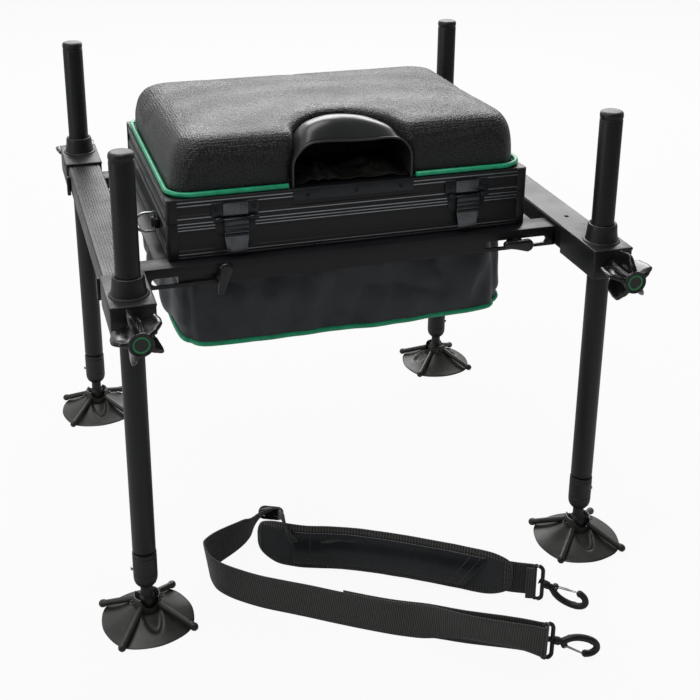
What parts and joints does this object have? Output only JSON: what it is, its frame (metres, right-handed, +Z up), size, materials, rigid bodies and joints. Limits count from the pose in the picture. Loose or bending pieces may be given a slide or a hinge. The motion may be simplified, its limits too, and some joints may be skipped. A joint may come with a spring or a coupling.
{
  "type": "fishing seat box",
  "caption": "Framed seat box on adjustable legs with tilting mud feet, a padded lid with a pocket, a case with a soft bag below it, and a loose shoulder strap.",
  "frame": {"origin": "on the floor, midway between the four legs", "axes": "+X to the right seen from the front, +Y to the rear, +Z up"},
  "size_m": [0.6203, 0.7581, 0.539],
  "materials": {
    "anodised": "satin black anodised, fine ribs",
    "black_plastic": "moulded, fine grain",
    "gloss_plastic": "smooth moulded",
    "bright_steel": "bright plated",
    "black_steel": "black plated",
    "foot_plastic": "tough moulded nylon",
    "seat_cover": "fine dark grey cover cloth over foam",
    "green_piping": "covered piping cord",
    "bag_cloth": "coated black cloth",
    "pvc": "glossy coated cloth",
    "webbing": "woven black webbing"
  },
  "bodies": {
    "frame": {"corner_block_front_left": "black_plastic", "corner_block_front_right": "black_plastic", "corner_block_rear_left": "black_plastic", "corner_block_rear_right": "black_plastic", "side_rail_left": "anodised", "side_rail_right": "anodised", "cross_rail_front": "anodised", "cross_rail_rear": "anodised"},
    "leg_front_left": {"leg_tube_front_left": "anodised", "leg_cap_front_left": "black_plastic", "foot_coupling_front_left": "black_plastic"},
    "button_front_left": {"release_button_front_left": "bright_steel"},
    "foot_front_left": {"mud_foot_front_left": "foot_plastic"},
    "knob_front_left": {"clamp_knob_front_left": "gloss_plastic"},
    "leg_front_right": {"leg_tube_front_right": "anodised", "leg_cap_front_right": "black_plastic", "foot_coupling_front_right": "black_plastic"},
    "button_front_right": {"release_button_front_right": "bright_steel"},
    "foot_front_right": {"mud_foot_front_right": "foot_plastic"},
    "knob_front_right": {"clamp_knob_front_right": "gloss_plastic"},
    "leg_rear_left": {"leg_tube_rear_left": "anodised", "leg_cap_rear_left": "black_plastic", "foot_coupling_rear_left": "black_plastic"},
    "button_rear_left": {"release_button_rear_left": "bright_steel"},
    "foot_rear_left": {"mud_foot_rear_left": "foot_plastic"},
    "knob_rear_left": {"clamp_knob_rear_left": "gloss_plastic"},
    "leg_rear_right": {"leg_tube_rear_right": "anodised", "leg_cap_rear_right": "black_plastic", "foot_coupling_rear_right": "black_plastic"},
    "button_rear_right": {"release_button_rear_right": "bright_steel"},
    "foot_rear_right": {"mud_foot_rear_right": "foot_plastic"},
    "knob_rear_right": {"clamp_knob_rear_right": "gloss_plastic"},
    "seat_module": {"carrier_bar_left": "anodised", "carrier_bar_right": "anodised", "case_body": "anodised", "hinge_pin": "bright_steel", "gear_bag": "bag_cloth"},
    "wing_left": {"wing_screw_left": "gloss_plastic"},
    "wing_right": {"wing_screw_right": "gloss_plastic"},
    "ring_left": {"strap_ring_left": "bright_steel"},
    "ring_right": {"strap_ring_right": "bright_steel"},
    "lid": {"lid_frame": "anodised", "seat_cushion": "seat_cover", "seat_piping": "green_piping", "pocket_hood": "pvc", "pocket_sill": "black_steel", "latch_plate_left": "black_steel", "latch_plate_right": "black_steel"},
    "latch_left": {"latch_lever_left": "black_steel"},
    "latch_right": {"latch_lever_right": "black_steel"},
    "shoulder_strap": {"strap_webbing": "webbing", "strap_pad": "webbing", "slider_buckle": "black_plastic", "swivel_loop_near": "black_plastic", "swivel_loop_far": "black_plastic"},
    "hook_near": {"snap_hook_near": "black_plastic"},
    "gate_near": {"wire_gate_near": "bright_steel"},
    "hook_far": {"snap_hook_far": "black_plastic"},
    "gate_far": {"wire_gate_far": "bright_steel"}
  },
  "joints": [
    {"name": "leg_height_front_left", "type": "slide", "parent": "frame", "child": "leg_front_left", "axis": [0, 0, 1], "range_m": [-0.1, 0.2]},
    {"name": "release_press_front_left", "type": "slide", "parent": "leg_front_left", "child": "button_front_left", "axis": [1, 0, 0], "range_m": [0, 0.0025], "stiffness_N_per_m": 1200, "springref_m": -0.001},
    {"name": "foot_tilt_front_left", "type": "hinge", "parent": "leg_front_left", "child": "foot_front_left", "pos_m": [-0.26, -0.24, 0.026], "axis": [1, 0, 0], "range_deg": [-25, 25]},
    {"name": "knob_turn_front_left", "type": "hinge", "parent": "frame", "child": "knob_front_left", "pos_m": [-0.26, -0.3, 0.372], "axis": [0, -1, 0], "range_deg": [0, 540]},
    {"name": "leg_height_front_right", "type": "slide", "parent": "frame", "child": "leg_front_right", "axis": [0, 0, 1], "range_m": [-0.1, 0.2]},
    {"name": "release_press_front_right", "type": "slide", "parent": "leg_front_right", "child": "button_front_right", "axis": [-1, 0, 0], "range_m": [0, 0.0025], "stiffness_N_per_m": 1200, "springref_m": -0.001},
    {"name": "foot_tilt_front_right", "type": "hinge", "parent": "leg_front_right", "child": "foot_front_right", "pos_m": [0.26, -0.24, 0.026], "axis": [1, 0, 0], "range_deg": [-25, 25]},
    {"name": "knob_turn_front_right", "type": "hinge", "parent": "frame", "child": "knob_front_right", "pos_m": [0.26, -0.3, 0.372], "axis": [0, -1, 0], "range_deg": [0, 540]},
    {"name": "leg_height_rear_left", "type": "slide", "parent": "frame", "child": "leg_rear_left", "axis": [0, 0, 1], "range_m": [-0.1, 0.2]},
    {"name": "release_press_rear_left", "type": "slide", "parent": "leg_rear_left", "child": "button_rear_left", "axis": [1, 0, 0], "range_m": [0, 0.0025], "stiffness_N_per_m": 1200, "springref_m": -0.001},
    {"name": "foot_tilt_rear_left", "type": "hinge", "parent": "leg_rear_left", "child": "foot_rear_left", "pos_m": [-0.26, 0.24, 0.026], "axis": [1, 0, 0], "range_deg": [-25, 25]},
    {"name": "knob_turn_rear_left", "type": "hinge", "parent": "frame", "child": "knob_rear_left", "pos_m": [-0.26, 0.3, 0.372], "axis": [0, 1, 0], "range_deg": [0, 540]},
    {"name": "leg_height_rear_right", "type": "slide", "parent": "frame", "child": "leg_rear_right", "axis": [0, 0, 1], "range_m": [-0.1, 0.2]},
    {"name": "release_press_rear_right", "type": "slide", "parent": "leg_rear_right", "child": "button_rear_right", "axis": [-1, 0, 0], "range_m": [0, 0.0025], "stiffness_N_per_m": 1200, "springref_m": -0.001},
    {"name": "foot_tilt_rear_right", "type": "hinge", "parent": "leg_rear_right", "child": "foot_rear_right", "pos_m": [0.26, 0.24, 0.026], "axis": [1, 0, 0], "range_deg": [-25, 25]},
    {"name": "knob_turn_rear_right", "type": "hinge", "parent": "frame", "child": "knob_rear_right", "pos_m": [0.26, 0.3, 0.372], "axis": [0, 1, 0], "range_deg": [0, 540]},
    {"name": "seat_shift", "type": "slide", "parent": "frame", "child": "seat_module", "axis": [1, 0, 0], "range_m": [-0.015, 0]},
    {"name": "wing_screw_turn_left", "type": "hinge", "parent": "seat_module", "child": "wing_left", "pos_m": [-0.152, -0.17, 0.368], "axis": [0, -1, 0], "range_deg": [0, 540]},
    {"name": "wing_screw_turn_right", "type": "hinge", "parent": "seat_module", "child": "wing_right", "pos_m": [0.19, -0.17, 0.368], "axis": [0, -1, 0], "range_deg": [0, 540]},
    {"name": "ring_swing_left", "type": "hinge", "parent": "seat_module", "child": "ring_left", "pos_m": [-0.2099, -0.085, 0.405], "axis": [0, 0, 1], "range_deg": [-80, 80]},
    {"name": "ring_swing_right", "type": "hinge", "parent": "seat_module", "child": "ring_right", "pos_m": [0.2099, -0.085, 0.405], "axis": [0, 0, 1], "range_deg": [-80, 80]},
    {"name": "lid_open", "type": "hinge", "parent": "seat_module", "child": "lid", "pos_m": [0, 0.1572, 0.425], "axis": [-1, 0, 0], "range_deg": [0, 100]},
    {"name": "latch_open_left", "type": "hinge", "parent": "lid", "child": "latch_left", "pos_m": [-0.133, -0.15785, 0.42535], "axis": [-1, 0, 0], "range_deg": [0, 100]},
    {"name": "latch_open_right", "type": "hinge", "parent": "lid", "child": "latch_right", "pos_m": [0.133, -0.15785, 0.42535], "axis": [-1, 0, 0], "range_deg": [0, 100]},
    {"name": "strap_lift", "type": "slide", "parent": "frame", "child": "shoulder_strap", "axis": [0, 0, 1], "range_m": [0, 0.2]},
    {"name": "hook_swivel_near", "type": "hinge", "parent": "shoulder_strap", "child": "hook_near", "pos_m": [0.1383, -0.42734, 0.02457], "axis": [0.9366, -0.1651, -0.309], "continuous": true},
    {"name": "gate_open_near", "type": "hinge", "parent": "hook_near", "child": "gate_near", "pos_m": [0.14933, -0.42929, 0.01692], "axis": [-0.1736, -0.9848, 0], "range_deg": [0, 20], "stiffness_Nm_per_rad": 0.02, "springref_deg": -11.46},
    {"name": "hook_swivel_far", "type": "hinge", "parent": "shoulder_strap", "child": "hook_far", "pos_m": [0.16892, -0.33893, 0.02457], "axis": [0.7694, -0.559, -0.309], "continuous": true},
    {"name": "gate_open_far", "type": "hinge", "parent": "hook_far", "child": "gate_far", "pos_m": [0.1799, -0.34691, 0.02418], "axis": [0.5878, 0.809, 0], "range_deg": [0, 20], "stiffness_Nm_per_rad": 0.02, "springref_deg": -11.46}
  ]
}
